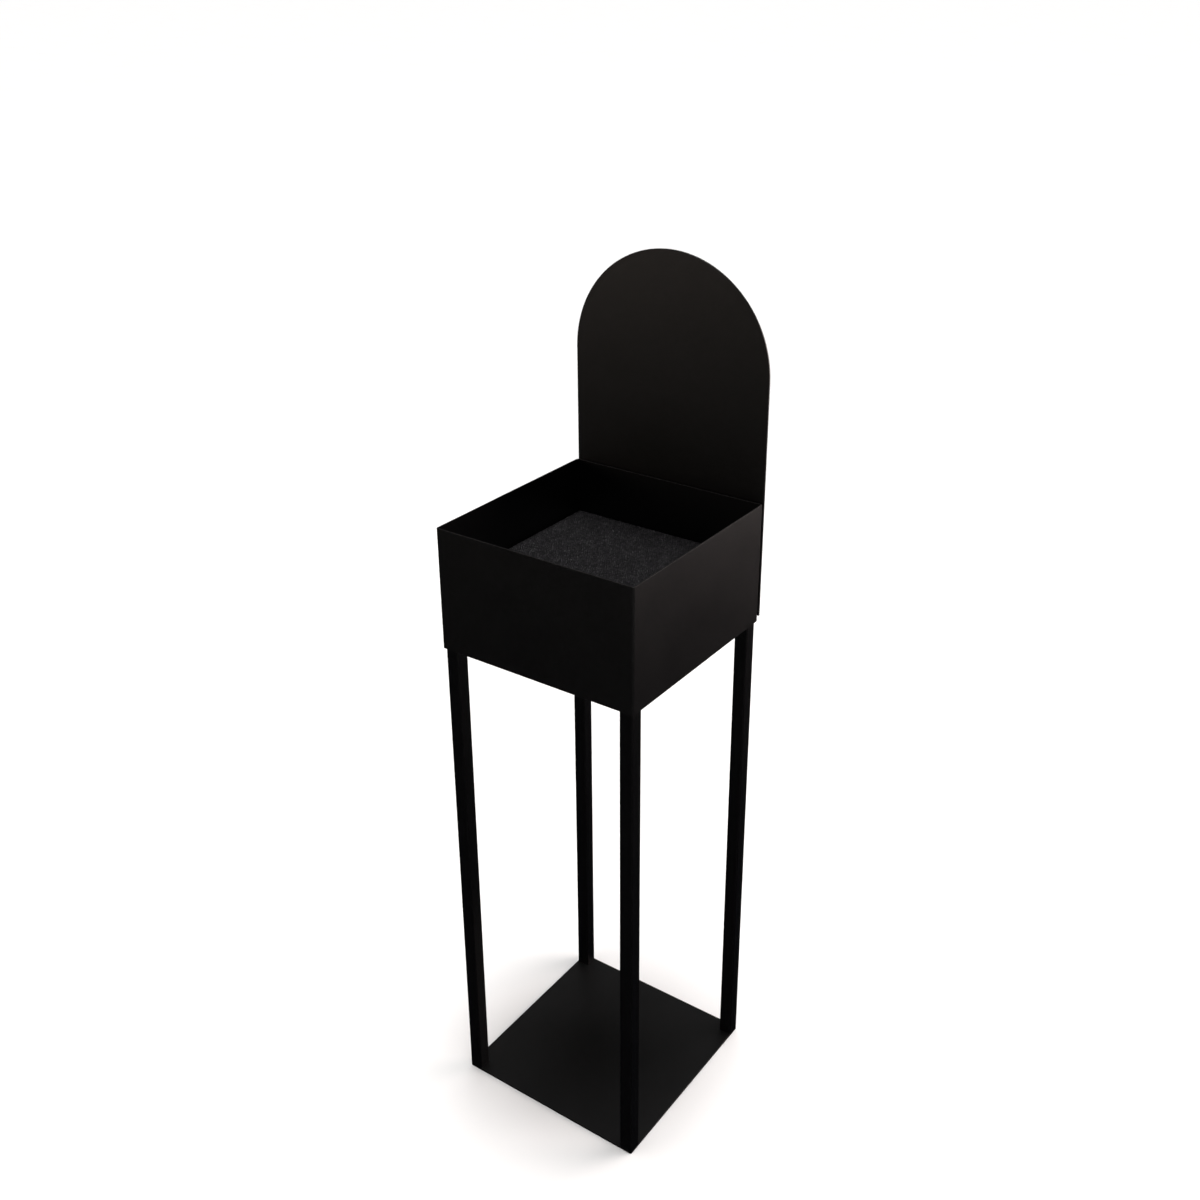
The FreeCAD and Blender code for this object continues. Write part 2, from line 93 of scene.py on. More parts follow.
# Weld beads
BEAD_SEED = 3
RAIL_BEAD = 1.7 * MM
SEAM_BEAD = 0.85 * MM
BEAD_RIPPLE = 1.5 * MM

# Edges
SHEET_EDGE = 0.35 * MM
FOLDED_EDGE = 0.3 * MM
SHARP_ANGLE = math.radians(32)
SIDES = (-1, 1)

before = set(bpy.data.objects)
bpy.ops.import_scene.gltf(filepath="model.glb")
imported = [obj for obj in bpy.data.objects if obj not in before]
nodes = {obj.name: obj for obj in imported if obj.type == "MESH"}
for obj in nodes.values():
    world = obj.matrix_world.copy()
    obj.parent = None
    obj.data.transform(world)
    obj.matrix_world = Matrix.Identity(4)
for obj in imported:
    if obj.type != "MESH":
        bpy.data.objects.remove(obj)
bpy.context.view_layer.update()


# Camera, floor and light ------------------------------------------------------------------

def direction(azimuth, elevation):
    """Unit vector towards a place at that azimuth, 0 at -Y and a quarter turn at +X."""
    level = math.cos(elevation)
    return Vector((math.sin(azimuth) * level, -math.cos(azimuth) * level, math.sin(elevation)))


def make_camera():
    data = bpy.data.cameras.new("camera")
    data.sensor_width = CAMERA_SENSOR
    data.lens = CAMERA_LENS
    data.shift_x, data.shift_y = CAMERA_SHIFT
    data.clip_start, data.clip_end = 0.05, 200
    camera = bpy.data.objects.new("camera", data)
    back = direction(CAMERA_AZIMUTH, CAMERA_ELEVATION)
    camera.rotation_mode = "QUATERNION"
    camera.rotation_quaternion = (-back).to_track_quat("-Z", "Y")
    camera.location = CAMERA_AIM + back * CAMERA_DISTANCE
    bpy.context.scene.collection.objects.link(camera)
    bpy.context.scene.camera = camera


def place_light(light, aim, azimuth, elevation, distance):
    towards = direction(math.radians(azimuth), math.radians(elevation))
    light.location = Vector(aim) + towards * distance
    light.rotation_mode = "QUATERNION"
    light.rotation_quaternion = towards.to_track_quat("Z", "Y")
    bpy.context.scene.collection.objects.link(light)


def new_light(name, kind, power, colour):
    data = bpy.data.lights.new(name, kind)
    data.energy = power
    data.color = colour
    return bpy.data.objects.new(name, data)


def add_softbox(name, power, colour, size, aim, azimuth, elevation):
    softbox = new_light(name, "AREA", power, colour)
    softbox.data.shape = "RECTANGLE"
    softbox.data.size, softbox.data.size_y = size
    place_light(softbox, aim, azimuth, elevation, SOFTBOX_DISTANCE)
    softbox.visible_camera = False


def make_lights():
    """A wide overhead light, a softbox at the right rear, a faint one at the front left whose
    reflection fades down the panel, and faint low fills that give the other sides their form."""
    overhead = new_light("overhead", "SUN", OVERHEAD_POWER, (1.0, 0.995, 0.99))
    overhead.data.angle = math.radians(22)
    place_light(overhead, (0, 0, 1), 150, 88, 3)
    add_softbox("key_softbox", KEY_POWER, (1.0, 0.86, 0.82), (1.5, 1.3), BOX_MIDDLE, 138, 5)
    add_softbox(
        "panel_softbox", PANEL_POWER, (1.0, 0.84, 0.74), (1.4, 0.55), PANEL_MIDDLE, -36, -1)
    for azimuth, power in FILL_POWERS.items():
        add_softbox(
            f"fill_{azimuth}", power, (1.0, 0.95, 0.92), (0.9, 0.8), BOX_MIDDLE, azimuth, -9)


def make_world():
    """Pale all round to the eye. What lights the object is pale above and dark below."""
    world = bpy.data.worlds.new("studio")
    bpy.context.scene.world = world
    world.use_nodes = True
    tree = world.node_tree
    tree.nodes.clear()
    place = add_node(tree, "ShaderNodeTexCoord")
    parts = add_node(tree, "ShaderNodeSeparateXYZ", {"Vector": place.outputs["Generated"]})
    above = map_range(tree, parts.outputs["Z"], (0.42, 1.0), (0.0, 1.0))
    glow = mix_colours(tree, above, (0.004, 0.005, 0.007, 1), (0.25, 0.247, 0.243, 1))
    lighting = add_node(tree, "ShaderNodeBackground", {"Color": glow})
    seen = add_node(tree, "ShaderNodeBackground", {"Color": (1, 1, 1, 1)})
    path = add_node(tree, "ShaderNodeLightPath")
    shown = add_node(tree, "ShaderNodeMixShader", {
        0: path.outputs["Is Camera Ray"], 1: lighting.outputs[0], 2: seen.outputs[0],
    })
    add_node(tree, "ShaderNodeOutputWorld", {"Surface": shown.outputs[0]})


def make_floor():
    """Pale studio floor, which the coat does not mirror."""
    reach = 60.0
    mesh = bpy.data.meshes.new("floor")
    corners = [(-reach, -reach, 0), (reach, -reach, 0), (reach, reach, 0), (-reach, reach, 0)]
    mesh.from_pydata(corners, [], [(0, 1, 2, 3)])
    floor = bpy.data.objects.new("floor", mesh)
    clear_of_the_plate = 0.4 * MM
    floor.location.z = -clear_of_the_plate
    floor.visible_glossy = False
    mesh.materials.append(floor_paint())
    bpy.context.scene.collection.objects.link(floor)


# Material nodes ---------------------------------------------------------------------------

def add_node(tree, kind, inputs=None, **settings):
    """Adds a node. An input is a value, or the socket that feeds it."""
    node = tree.nodes.new(kind)
    for key, value in settings.items():
        setattr(node, key, value)
    for key, value in (inputs or {}).items():
        if isinstance(value, bpy.types.NodeSocket):
            tree.links.new(value, node.inputs[key])
        else:
            node.inputs[key].default_value = value
    return node


def map_range(tree, value, before, after, kind="SMOOTHSTEP"):
    node = add_node(tree, "ShaderNodeMapRange", {
        "Value": value,
        "From Min": before[0], "From Max": before[1], "To Min": after[0], "To Max": after[1],
    }, interpolation_type=kind)
    return node.outputs["Result"]


def calculate(tree, operation, first, second):
    node = add_node(tree, "ShaderNodeMath", {0: first, 1: second}, operation=operation)
    return node.outputs[0]


def mix_colours(tree, share, first, second):
    node = tree.nodes.new("ShaderNodeMix")
    node.data_type = "RGBA"
    for index, value in ((0, share), (6, first), (7, second)):
        if isinstance(value, bpy.types.NodeSocket):
            tree.links.new(value, node.inputs[index])
        else:
            node.inputs[index].default_value = value
    return node.outputs[2]


def noise(tree, place, size, detail=2.0, roughness=0.5):
    """Noise from 0 to 1 whose blobs are about size across."""
    node = add_node(tree, "ShaderNodeTexNoise", {
        "Vector": place, "Scale": 1 / size, "Detail": detail, "Roughness": roughness,
    })
    return node.outputs["Fac"]


def new_material(name):
    """An empty material, its node tree and the object's own coordinates in metres."""
    material = bpy.data.materials.new(name)
    material.use_nodes = True
    tree = material.node_tree
    tree.nodes.clear()
    place = add_node(tree, "ShaderNodeTexCoord").outputs["Object"]
    return material, tree, place


def finish_material(tree, colour, roughness, normal, **fixed):
    """Principled shader. The fixed values go on its own sockets."""
    inputs = {"Base Color": colour, "Roughness": roughness, "Normal": normal}
    inputs.update({name.replace("_", " "): value for name, value in fixed.items()})
    shader = add_node(tree, "ShaderNodeBsdfPrincipled", inputs)
    add_node(tree, "ShaderNodeOutputMaterial", {"Surface": shader.outputs["BSDF"]})


def bump(tree, height, distance, strength=1.0, under=None):
    inputs = {"Height": height, "Distance": distance, "Strength": strength}
    if under is not None:
        inputs["Normal"] = under
    return add_node(tree, "ShaderNodeBump", inputs).outputs["Normal"]


def edge_share(tree, radius):
    """0 on flat faces, rising to 1 on an outer or inner edge."""
    rounded = add_node(tree, "ShaderNodeBevel", {"Radius": radius}, samples=6)
    shape = add_node(tree, "ShaderNodeNewGeometry")
    agreement = add_node(tree, "ShaderNodeVectorMath", {
        0: rounded.outputs["Normal"], 1: shape.outputs["Normal"],
    }, operation="DOT_PRODUCT")
    return map_range(tree, agreement.outputs["Value"], (0.995, 0.80), (0.0, 1.0), "LINEAR")


def facing_up(tree):
    shape = add_node(tree, "ShaderNodeNewGeometry")
    parts = add_node(tree, "ShaderNodeSeparateXYZ", {"Vector": shape.outputs["Normal"]})
    return map_range(tree, parts.outputs["Z"], (0.6, 0.95), (0.0, 1.0))


def floor_paint():
    """Plain pale studio floor with a barely seen mottle."""
    material, tree, place = new_material("studio_floor")
    mottle = noise(tree, place, 0.35, 4)
    colour = mix_colours(tree, mottle, (0.87, 0.87, 0.87, 1), (0.91, 0.91, 0.91, 1))
    roughness = map_range(tree, mottle, (0.0, 1.0), (0.75, 0.85))
    normal = bump(tree, noise(tree, place, 0.004, 3), 0.0001, 0.2)
    finish_material(tree, colour, roughness, normal)
    return material


def powder_coat(name, shade, roughness, dust):
    """Matt black powder coat: orange peel, fine grain, cloudy gloss, paler rubbed edges and
    a little dust where it faces up."""
    material, tree, place = new_material(name)
    cloud = noise(tree, place, 0.11, 3, 0.6)
    darker = [channel * 0.85 for channel in shade] + [1]
    lighter = [channel * 1.15 for channel in shade] + [1]
    body_colour = mix_colours(tree, cloud, darker, lighter)
    rubbed = calculate(
        tree, "MULTIPLY", edge_share(tree, 0.0012),
        map_range(tree, noise(tree, place, 0.022, 6, 0.65), (0.42, 0.68), (0.12, 0.75)))
    worn = mix_colours(tree, rubbed, body_colour, RUBBED_EDGE)
    dusty = calculate(
        tree, "MULTIPLY", facing_up(tree),
        map_range(tree, noise(tree, place, 0.045, 7, 0.68), (0.40, 0.78), (0.02, dust)))
    colour = mix_colours(tree, dusty, worn, DUST)
    uneven = map_range(tree, cloud, (0.25, 0.75), (roughness - 0.02, roughness + 0.02))
    polished = calculate(tree, "MULTIPLY", rubbed, -0.14)
    matted = calculate(tree, "MULTIPLY", dusty, 0.5)
    final_roughness = calculate(tree, "ADD", uneven, calculate(tree, "ADD", polished, matted))
    peel = bump(tree, noise(tree, place, 0.0022, 2), 0.00010, 1.0)
    grain = bump(tree, noise(tree, place, 0.0008, 2), 0.00013, 1.0, peel)
    finish_material(tree, colour, final_roughness, grain, Specular_IOR_Level=0.30)
    return material


def grit_finish():
    """Dark mineral grains, each of its own tone, in black resin. Their sides are darker, a painted
    shade in the gaps between them.
    """
    material, tree, place = new_material("grit_stones")
    tone = add_node(tree, "ShaderNodeAttribute", attribute_name="grain_tone_and_side_shade").outputs["Fac"]
    fine = noise(tree, place, 0.0005, 4, 0.6)
    stone = mix_colours(tree, tone, (0.0012, 0.0011, 0.0014, 1), (0.026, 0.023, 0.027, 1))
    speckle = map_range(tree, fine, (0.45, 0.8), (0.0, 0.20))
    colour = mix_colours(tree, speckle, stone, (0.032, 0.029, 0.033, 1))
    roughness = map_range(tree, tone, (0.0, 1.0), (0.52, 0.36))
    normal = bump(tree, fine, 0.0001, 0.6)
    finish_material(tree, colour, roughness, normal, Specular_IOR_Level=0.22)
    return material


def zinc_finish():
    """Bright zinc on steel, clouded, with duller specks."""
    material, tree, place = new_material("zinc_plating")
    cloud = noise(tree, place, 0.003, 5, 0.6)
    colour = mix_colours(tree, cloud, (0.46, 0.47, 0.49, 1), (0.66, 0.67, 0.68, 1))
    dull = mix_colours(
        tree, map_range(tree, noise(tree, place, 0.0012, 4), (0.58, 0.75), (0.0, 0.5)),
        colour, (0.30, 0.29, 0.27, 1))
    roughness = map_range(tree, cloud, (0.2, 0.8), (0.28, 0.48))
    normal = bump(tree, noise(tree, place, 0.0004, 3), 0.00002, 0.4)
    finish_material(tree, dull, roughness, normal, Metallic=0.7)
    return material


# Mesh work --------------------------------------------------------------------------------

def join_rings(rings, closed=False):
    """Vertices and faces of a skin through rings of equal length. An open run is capped."""
    size = len(rings[0])
    vertices = [point for ring in rings for point in ring]
    last = len(rings) if closed else len(rings) - 1
    faces = []
    for row in range(last):
        lower, upper = row * size, (row + 1) % len(rings) * size
        for step in range(size):
            after = (step + 1) % size
            faces.append((lower + step, lower + after, upper + after, upper + step))
    if not closed:
        faces.append(tuple(reversed(range(size))))
        faces.append(tuple(range(len(vertices) - size, len(vertices))))
    return vertices, faces


def make_piece(name, solids, material, body):
    """One named piece from solids, each its vertices and faces, riding on a body."""
    vertices, faces = [], []
    for points, polygons in solids:
        start = len(vertices)
        vertices.extend(points)
        faces.extend(tuple(start + index for index in polygon) for polygon in polygons)
    mesh = bpy.data.meshes.new(name)
    mesh.from_pydata([tuple(point) for point in vertices], [], faces)
    shape = bmesh.new()
    shape.from_mesh(mesh)
    bmesh.ops.recalc_face_normals(shape, faces=shape.faces)
    shape.to_mesh(mesh)
    shape.free()
    mesh.materials.append(material)
    mesh.polygons.foreach_set("use_smooth", [True] * len(mesh.polygons))
    mesh.set_sharp_from_angle(angle=SHARP_ANGLE)
    piece = bpy.data.objects.new(name, mesh)
    bpy.context.scene.collection.objects.link(piece)
    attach(piece, body)
    return piece


def turned(levels, steps, placing):
    """Rings about the Z axis, then placed. A level is a height and a radius, where the radius
    may be a function of the angle."""
    rings = []
    for height, radius in levels:
        ring = []
        for step in range(steps):
            angle = 2 * math.pi * step / steps
            reach = radius(angle) if callable(radius) else radius
            ring.append(placing @ Vector((reach * math.cos(angle), reach * math.sin(angle), height)))
        rings.append(ring)
    return rings


def hexagon(across_flats):
    """Radius of a hexagon as a function of the angle."""
    sixth = math.pi / 3
    return lambda angle: across_flats / 2 / math.cos((angle % sixth) - sixth / 2)


def thread_levels(start, end, major, pitch, per_turn=8):
    """Levels of a screw thread whose crest reaches major and whose root is 0.61 pitch lower. Crest
    and root are flat, with straight flanks between them."""
    depth = 0.61 * pitch
    count = max(2, round((end - start) / pitch * per_turn))

    def at(height):
        def radius(angle):
            phase = (height / pitch - angle / (2 * math.pi)) % 1
            ridge = min(1, max(0, 1.25 - abs(phase - 0.5) * 3.2))
            return major - depth + depth * ridge
        return radius

    heights = [start + (end - start) * index / count for index in range(count + 1)]
    return [(height, at(height)) for height in heights]


def chamfered_nut(across_flats, height, size, placing, steps=48):
    """Hexagon nut for a thread of that size, its corners turned off at 30 degrees on both faces."""
    outline = hexagon(across_flats)
    bore = size / 2 + THREAD_GAP
    face = across_flats / 2 * 0.94
    slope = math.tan(math.radians(30))
    countersink = 0.35 * MM
    rings = turned([(0, bore + countersink), (0, face)], steps, placing)
    low, high = [], []
    for step in range(steps):
        angle = 2 * math.pi * step / steps
        reach = outline(angle)
        drop = (reach - face) * slope
        flat = (reach * math.cos(angle), reach * math.sin(angle))
        low.append(placing @ Vector((*flat, drop)))
        high.append(placing @ Vector((*flat, height - drop)))
    rings += [low, high]
    rings += turned([
        (height, face), (height, bore + countersink), (height - countersink, bore), (countersink, bore),
    ], steps, placing)
    return join_rings(rings, closed=True)


def bead_rings(path, radius, steps=10):
    """Rippled weld bead of round section along a line of points close together, thin at both
    ends. No bead runs along the tilted line that its section is turned by."""
    tilted = Vector((0.31, 0.23, 0.92))
    rings, travelled = [], 0.0
    count = len(path)
    for index, point in enumerate(path):
        before, after = path[max(0, index - 1)], path[min(count - 1, index + 1)]
        along = (after - before).normalized()
        across = along.cross(tilted).normalized()
        third = along.cross(across)
        travelled += (point - before).length if index else 0.0
        ripple = 1 + 0.13 * math.sin(2 * math.pi * travelled / BEAD_RIPPLE)
        ripple += random.uniform(-0.04, 0.04)
        taper = min(1.0, 0.35 + min(index, count - 1 - index) * 0.3)
        reach = radius * ripple * taper
        rings.append([
            point + (across * math.cos(angle) + third * math.sin(angle)) * reach
            for angle in (2 * math.pi * step / steps for step in range(steps))
        ])
    return rings


def fill_path(corners, step=0.4 * MM):
    """Points close together along straight runs between corners."""
    points = [corners[0]]
    for start, end in zip(corners, corners[1:]):
        count = max(1, math.ceil((end - start).length / step))
        points += [start.lerp(end, index / count) for index in range(1, count + 1)]
    return points


# Pieces -----------------------------------------------------------------------------------

def grit_seeds(low, high, draw):
    """Rows of points, one to a stone, in a triangular lattice that reaches past the layer. Each
    is swayed with its neighbours and then jittered alone. Unseeded, the sway would follow the
    clock."""
    space_noise.seed_set(SWAY_SEED)
    row_height = STONE_SPACING * math.sqrt(3) / 2
    columns = math.ceil((high.x - low.x) / STONE_SPACING) + 3 * LATTICE_MARGIN
    rows = math.ceil((high.y - low.y) / row_height) + 3 * LATTICE_MARGIN

    def seed(column, row):
        place = Vector((
            low.x + (column - LATTICE_MARGIN + row % 2 / 2) * STONE_SPACING,
            low.y + (row - LATTICE_MARGIN) * row_height, 0))
        sway = space_noise.noise_vector(place / SWAY_REACH) * STONE_SPACING * SWAY
        return (
            place.x + sway.x + draw.uniform(-STONE_JITTER, STONE_JITTER),
            place.y + sway.y + draw.uniform(-STONE_JITTER, STONE_JITTER))

    return [[seed(column, row) for column in range(columns)] for row in range(rows)]


def grit_cells(shape, seeds, low, high, level):
    """Six shared corners round each seed inside the layer. A corner is the middle of three
    neighbouring seeds, which stand in a triangle that points up or down."""
    corners = {}

    def corner(points_up, column, row):
        key = (points_up, column, row)
        if key not in corners:
            odd = row % 2
            above = seeds[row + 1][column + odd]
            if points_up:
                three = (seeds[row][column], seeds[row][column + 1], above)
            else:
                three = (seeds[row][column], seeds[row + 1][column - 1 + odd], above)
            x, y = (sum(point[axis] for point in three) / 3 for axis in (0, 1))
            corners[key] = shape.verts.new((x, y, level))
        return corners[key]

    cells = []
    for row in range(1, len(seeds) - 1):
        for column in range(1, len(seeds[row]) - 2):
            x, y = seeds[row][column]
            below = column - 1 + row % 2
            if low.x < x < high.x and low.y < y < high.y:
                cells.append([
                    corner(True, column, row), corner(False, column, row),
                    corner(True, column - 1, row), corner(False, below, row - 1),
                    corner(True, below, row - 1), corner(False, below + 1, row - 1),
                ])
    return cells


def make_grit(material):
    """Irregular stones packed side by side on the tray, each with its own height and tilt."""
    low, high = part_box("stub_pad")
    draw = random.Random(STONE_SEED)
    shape = bmesh.new()
    side_shaded_tone_layer = shape.faces.layers.float.new("grain_tone_and_side_shade")
    resin_level = low.z + 0.1 * MM
    cells = grit_cells(shape, grit_seeds(low, high, draw), low, high, resin_level)
    uses = Counter(vertex for ring in cells for vertex in ring)
    pull_to_rim([vertex for vertex, count in uses.items() if count < 3], low, high)
    for ring in cells:
        add_stone(shape, side_shaded_tone_layer, ring, low.z, high.z, draw)
    skirt_and_close(shape, low.z)
    mesh = bpy.data.meshes.new("grit_bed")
    shape.to_mesh(mesh)
    shape.free()
    mesh.materials.append(material)
    piece = bpy.data.objects.new("grit_bed", mesh)
    bpy.context.scene.collection.objects.link(piece)
    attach(piece, "tray")
    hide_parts("stub_pad")


def pull_to_rim(outline, low, high):
    """Moves the outline's vertices onto the layer's straight edges and into its corners."""
    for vertex in outline:
        x, y = vertex.co.x, vertex.co.y
        side = min((x - low.x, 0), (high.x - x, 1), (y - low.y, 2), (high.y - y, 3))[1]
        vertex.co.x = (low.x, high.x)[side] if side < 2 else min(high.x, max(low.x, x))
        vertex.co.y = (low.y, high.y)[side - 2] if side > 1 else min(high.y, max(low.y, y))
    for x in (low.x, high.x):
        for y in (low.y, high.y):
            nearest = min(outline, key=lambda vertex: math.hypot(vertex.co.x - x, vertex.co.y - y))
            nearest.co.x, nearest.co.y = x, y


def cell_area(ring):
    """Area inside a ring of vertices, taken anticlockwise."""
    return sum(
        one.co.x * two.co.y - two.co.x * one.co.y for one, two in zip(ring, ring[1:] + ring[:1])) / 2


def add_stone(shape, side_shaded_tone_layer, ring, bottom, top, draw):
    """One stone in the cell: sides up from its shared corners, a shoulder, and a blunt peak.
    Its sides take 0.3 of its tone, a painted shade between the stones. Some cells, and the
    smallest, hold only resin."""
    middle = sum((vertex.co for vertex in ring), Vector()) / len(ring)
    thickness = top - bottom
    tone = draw.betavariate(1.2, 3.2)
    shoulder = draw.uniform(0.50, 0.76)
    rise = draw.uniform(0.06, 0.22)
    shrink = draw.uniform(0.56, 0.86)
    if draw.random() < RESIN_SHARE or cell_area(ring) < SMALLEST_STONE:
        shoulder, rise, tone = 0.16, 0.02, 0.0
    crown = []
    for vertex in ring:
        arm = (vertex.co - middle) * shrink * draw.uniform(0.82, 1.12)
        level = bottom + thickness * (shoulder + draw.uniform(-0.6, 0.6) * rise)
        crown.append(shape.verts.new((middle.x + arm.x, middle.y + arm.y, level)))
    off_centre = (crown[0].co - crown[3].co) * draw.uniform(-0.22, 0.22)
    off_centre += (crown[1].co - crown[4].co) * draw.uniform(-0.22, 0.22)
    peak = shape.verts.new((
        middle.x + off_centre.x, middle.y + off_centre.y, bottom + thickness * (shoulder + rise)))
    count = len(ring)
    for index in range(count):
        after = (index + 1) % count
        side = shape.faces.new((ring[index], ring[after], crown[after], crown[index]))
        # The sides are darkened to 0.3 of the stone's tone: painted shade between the stones.
        side[side_shaded_tone_layer] = tone * 0.3
        facet = shape.faces.new((crown[index], crown[after], peak))
        facet[side_shaded_tone_layer] = tone


def rim_of(shape):
    """The vertices of the layer's open rim, in order round it."""
    rim = [next(vertex for vertex in shape.verts if vertex.is_boundary)]
    passed = set(rim)
    while True:
        ahead = [edge.other_vert(rim[-1]) for edge in rim[-1].link_edges if edge.is_boundary]
        fresh = [vertex for vertex in ahead if vertex not in passed]
        if not fresh:
            return rim
        rim.append(fresh[0])
        passed.add(fresh[0])


def skirt_and_close(shape, bottom):
    """Walls from the open rim of the layer down to its underside, and the underside."""
    rim = rim_of(shape)
    lower = [shape.verts.new((vertex.co.x, vertex.co.y, bottom)) for vertex in rim]
    for index in range(len(rim)):
        shape.faces.new((rim[index - 1], rim[index], lower[index], lower[index - 1]))
    shape.faces.new(lower)
    bmesh.ops.recalc_face_normals(shape, faces=shape.faces)


def make_rail_welds(material):
    """At each leg, a bead under both rails' ends and one up the corner between them."""
    rail_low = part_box("rail_front")[0].z
    sink = 0.4 * MM
    short_of_the_edge = 1.5 * MM
    solids = []
    for end_name, end in (("front", -1), ("rear", 1)):
        for side_name, side in (("left", -1), ("right", 1)):
            low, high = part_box(f"leg_{end_name}_{side_name}")
            inner_x = low.x if side > 0 else high.x
            inner_y = low.y if end > 0 else high.y
            reach = (high.x - low.x) - short_of_the_edge
            corner = Vector((inner_x - sink * side, inner_y - sink * end, rail_low - sink / 2))
            path = [
                corner + Vector((0, reach * end, 0)), corner, corner + Vector((reach * side, 0, 0)),
            ]
            upright = [
                Vector((inner_x, inner_y, rail_low)),
                Vector((inner_x, inner_y, high.z - short_of_the_edge)),
            ]
            for run in (path, upright):
                solids.append(join_rings(bead_rings(fill_path(run), RAIL_BEAD)))
    make_piece("rail_welds", solids, material, "stand")


def make_floor_seam(material):
    """Thin bead where the box floor meets the walls, inside."""
    low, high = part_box("box_floor")
    inset = 0.35 * MM
    level = high.z + inset / 2
    turn = 1.2 * MM
    corner_steps = 4
    path = []
    half_x, half_y = high.x - inset, high.y - inset
    for start, (side, end) in zip((0, 90, 180, 270), ((1, 1), (-1, 1), (-1, -1), (1, -1))):
        for step in range(corner_steps + 1):
            angle = math.radians(start + step * 90 / corner_steps)
            path.append(Vector((
                side * (half_x - turn) + turn * math.cos(angle),
                end * (half_y - turn) + turn * math.sin(angle), level)))
    solids = [join_rings(bead_rings(fill_path(path + path[:1], 0.8 * MM), SEAM_BEAD, 6))]
    make_piece("floor_seam", solids, material, "stand")


def stud_places():
    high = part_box("floor_studs")[1]
    out_x, out_y = high.x - STUD_SIZE / 2, high.y - STUD_SIZE / 2
    return [(side * out_x, end * out_y) for side in SIDES for end in SIDES]


def make_studs(material):
    """The floor's studs, pointing down through the rails, threaded from the tip to half way up
    the rails."""
    low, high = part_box("floor_studs")
    rail_low, rail_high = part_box("rail_front")
    radius = STUD_SIZE / 2 - THREAD_GAP
    thread_start = low.z + TIP_CHAMFER
    thread_end = (rail_low.z + rail_high.z) / 2
    levels = [(low.z, radius - TIP_CHAMFER), (thread_start, radius - 0.4 * MM)]
    levels += thread_levels(thread_start, thread_end, radius, STUD_PITCH)
    levels += [(thread_end + 0.3 * MM, radius), (high.z, radius)]
    solids = [
        join_rings(turned(levels, 32, Matrix.Translation((x, y, 0)))) for x, y in stud_places()
    ]
    piece = make_piece("floor_studs_threaded", solids, material, "stand")
    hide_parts("floor_studs")


def make_floor_nuts(material):
    low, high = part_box("floor_nuts")
    quarter_turn = Matrix.Rotation(math.pi / 2, 4, "Z")
    solids = [
        chamfered_nut(
            STUD_NUT_FLATS, high.z - low.z, STUD_SIZE,
            Matrix.Translation((x, y, low.z)) @ quarter_turn)
        for x, y in stud_places()
    ]
    piece = make_piece("floor_nuts_chamfered", solids, material, "stand")
    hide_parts("floor_nuts")


def bracket_screw_axes():
    """Turns Z to the rear and X upwards, at each bracket screw."""
    low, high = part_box("bracket_screws")
    head_radius = (high.z - low.z) / 2
    to_the_rear = Matrix(((0, 1, 0, 0), (0, 0, 1, 0), (1, 0, 0, 0), (0, 0, 0, 1)))
    axes = []
    for side_name in ("left", "right"):
        bracket_low, bracket_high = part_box(f"panel_bracket_{side_name}")
        middle = (bracket_low.x + bracket_high.x) / 2
        half_apart = (high.x - head_radius) - abs(middle)
        for side in SIDES:
            place = (middle + side * half_apart, 0, (low.z + high.z) / 2)
            axes.append(Matrix.Translation(place) @ to_the_rear)
    return axes


def make_bracket_screws(material):
    """Countersunk screws with a hexagon socket, threaded from the tip to their washers."""
    low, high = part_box("bracket_screws")
    head = (high.z - low.z) / 2
    cone = head - SCREW_SIZE / 2
    socket = hexagon(SOCKET_FLATS)
    radius = SCREW_SIZE / 2 - THREAD_GAP
    thread_start = low.y + TIP_CHAMFER
    thread_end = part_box("bracket_washers")[0].y
    levels = [(low.y, radius - TIP_CHAMFER), (thread_start, radius - 0.3 * MM)]
    levels += thread_levels(thread_start, thread_end, radius, SCREW_PITCH)
    levels += [
        (high.y - cone, radius), (high.y - 0.15 * MM, head), (high.y, head - 0.12 * MM),
        (high.y, SOCKET_MOUTH_RADIUS), (high.y - 0.3 * MM, socket),
        (high.y - SOCKET_DEPTH, socket),
    ]
    solids = [join_rings(turned(levels, 48, axis)) for axis in bracket_screw_axes()]
    piece = make_piece("bracket_screws_threaded", solids, material, "stand")
    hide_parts("bracket_screws")


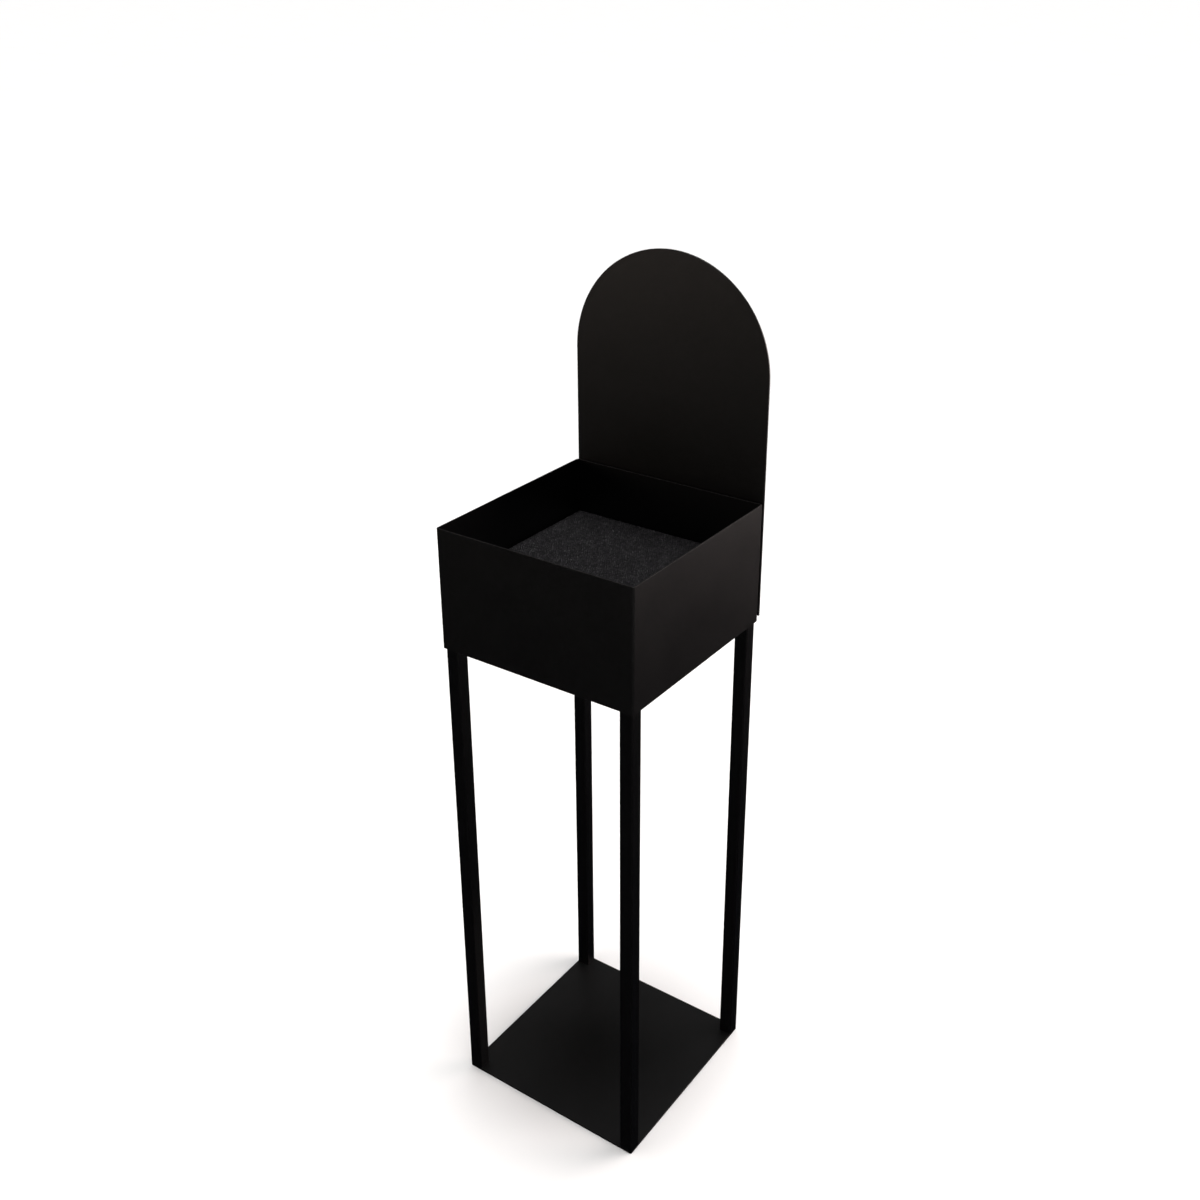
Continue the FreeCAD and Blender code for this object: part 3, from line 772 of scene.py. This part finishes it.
def make_bracket_nuts(material):
    low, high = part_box("bracket_nuts")
    solids = [
        chamfered_nut(
            SCREW_NUT_FLATS, high.y - low.y, SCREW_SIZE,
            axis @ Matrix.Translation((0, 0, low.y)))
        for axis in bracket_screw_axes()
    ]
    piece = make_piece("bracket_nuts_chamfered", solids, material, "stand")
    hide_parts("bracket_nuts")


def soften(names, width):
    """Broken edges on sheet metal, so that its rims catch the light as coated ones do."""
    for name in names:
        node = nodes[name]
        node.data.attributes.remove(node.data.attributes["custom_normal"])
        node.data.polygons.foreach_set("use_smooth", [True] * len(node.data.polygons))
        node.modifiers.new("joined", "WELD").merge_threshold = 0.001 * MM
        whole_faces = node.modifiers.new("whole_faces", "DECIMATE")
        whole_faces.decimate_type = "DISSOLVE"
        whole_faces.angle_limit = math.radians(0.5)
        broken = node.modifiers.new("broken_edges", "BEVEL")
        broken.width = width
        broken.segments = 2
        broken.limit_method = "ANGLE"
        broken.angle_limit = math.radians(50)
        broken.use_clamp_overlap = False
        node.modifiers.new("flat_faces", "WEIGHTED_NORMAL").keep_sharp = True


def finish_nodes(finishes):
    """Gives each CAD node the finish of its material slot."""
    for node in nodes.values():
        for holder in node.material_slots:
            holder.material = finishes[holder.material.name]


def make_object():
    finishes = {
        "stand_coat": powder_coat("stand_powder_coat", *STAND_BLACK_PAINTED_SHADE),
        "box_coat": powder_coat("box_powder_coat", *BOX_BLACK_PAINTED_SHADE),
        "panel_coat": powder_coat("panel_powder_coat", *PANEL_BLACK_PAINTED_WARM_LIGHT),
        "tray_coat": powder_coat("tray_powder_coat", *TRAY_BLACK),
        "grit": grit_finish(),
        "zinc_steel": zinc_finish(),
    }
    finish_nodes(finishes)
    soften(["box_walls", "box_floor", "base_plate"], SHEET_EDGE)
    soften(["panel_bracket_left", "panel_bracket_right", "stub_tray"], FOLDED_EDGE)
    random.seed(BEAD_SEED)
    make_grit(finishes["grit"])
    make_rail_welds(finishes["stand_coat"])
    make_floor_seam(finishes["box_coat"])
    make_studs(finishes["zinc_steel"])
    make_floor_nuts(finishes["zinc_steel"])
    make_bracket_screws(finishes["zinc_steel"])
    make_bracket_nuts(finishes["zinc_steel"])


bpy.context.scene.view_settings.view_transform = "Standard"
make_camera()
make_world()
make_lights()
make_floor()
make_object()
